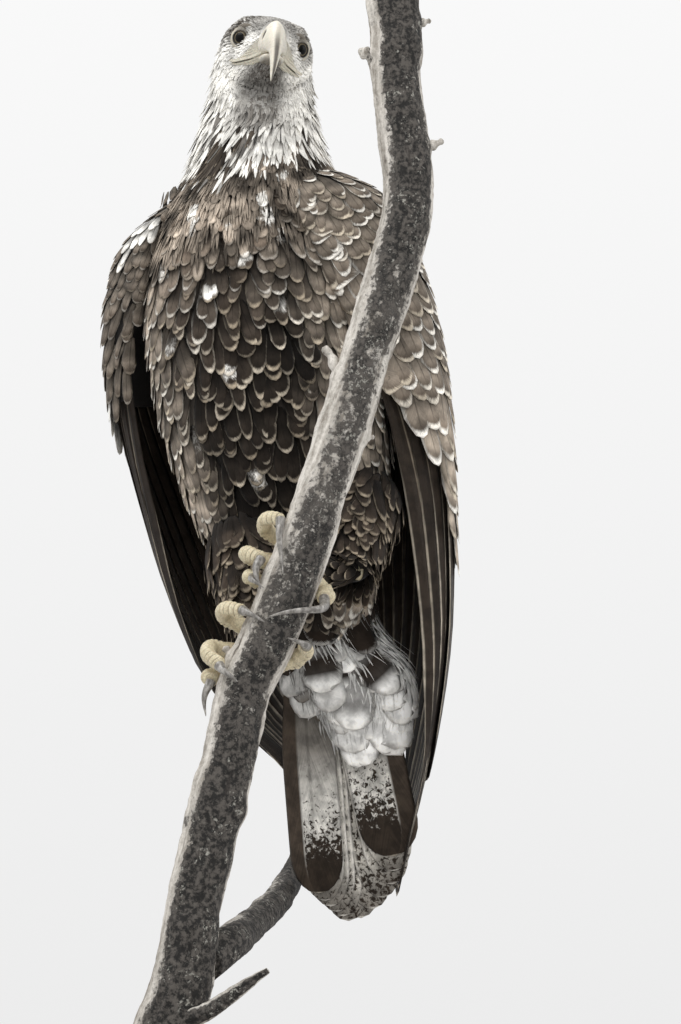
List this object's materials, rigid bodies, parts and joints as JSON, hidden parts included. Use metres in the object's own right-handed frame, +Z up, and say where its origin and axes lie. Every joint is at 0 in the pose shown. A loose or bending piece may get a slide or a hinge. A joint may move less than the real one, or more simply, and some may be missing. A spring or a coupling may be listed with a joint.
{
  "type": "bald eagle",
  "caption": "Life-size bald eagle in mottled immature plumage, wings folded, gripping a steep cut branch that a rod holds above a flat round base.",
  "frame": {"origin": "centre of the round base's underside, on the floor", "axes": "+Z up; the bird faces -Y, its left is towards +X"},
  "size_m": [0.4, 0.4914, 1.1956],
  "materials": {
    "dark_plumage": "matt feathers",
    "pale_plumage": "matt feathers",
    "bill_horn": "satin horn",
    "yellow_skin": "scaled skin",
    "claw_horn": "smooth horn",
    "eye": "wet gloss",
    "bark": "weathered bark",
    "stand_wood": "satin varnish",
    "stand_metal": "satin"
  },
  "bodies": {
    "root": {"bill_lower": "bill_horn", "bill_upper": "bill_horn", "claw_left_hind": "claw_horn", "claw_left_inner": "claw_horn", "claw_left_middle": "claw_horn", "claw_left_outer": "claw_horn", "claw_right_hind": "claw_horn", "claw_right_inner": "claw_horn", "claw_right_middle": "claw_horn", "claw_right_outer": "claw_horn", "eye_left": "eye", "eye_right": "eye", "head": "pale_plumage", "neck": "pale_plumage", "perch_fork": "bark", "perch_stem": "bark", "perch_stub": "bark", "shank_left": "yellow_skin", "shank_right": "yellow_skin", "stand_base": "stand_wood", "stand_cup": "stand_metal", "stand_rod": "stand_metal", "tail_centre": "pale_plumage", "tail_left_inner": "pale_plumage", "tail_left_outer": "pale_plumage", "tail_right_inner": "pale_plumage", "tail_right_outer": "pale_plumage", "thigh_left": "dark_plumage", "thigh_right": "dark_plumage", "toe_left_hind": "yellow_skin", "toe_left_inner": "yellow_skin", "toe_left_middle": "yellow_skin", "toe_left_outer": "yellow_skin", "toe_right_hind": "yellow_skin", "toe_right_inner": "yellow_skin", "toe_right_middle": "yellow_skin", "toe_right_outer": "yellow_skin", "trunk": "dark_plumage", "undertail_coverts": "pale_plumage", "uppertail_coverts": "pale_plumage", "wing_left_coverts": "dark_plumage", "wing_left_flight": "dark_plumage", "wing_left_shoulder": "dark_plumage", "wing_right_coverts": "dark_plumage", "wing_right_flight": "dark_plumage", "wing_right_shoulder": "dark_plumage"}
  },
  "joints": []
}
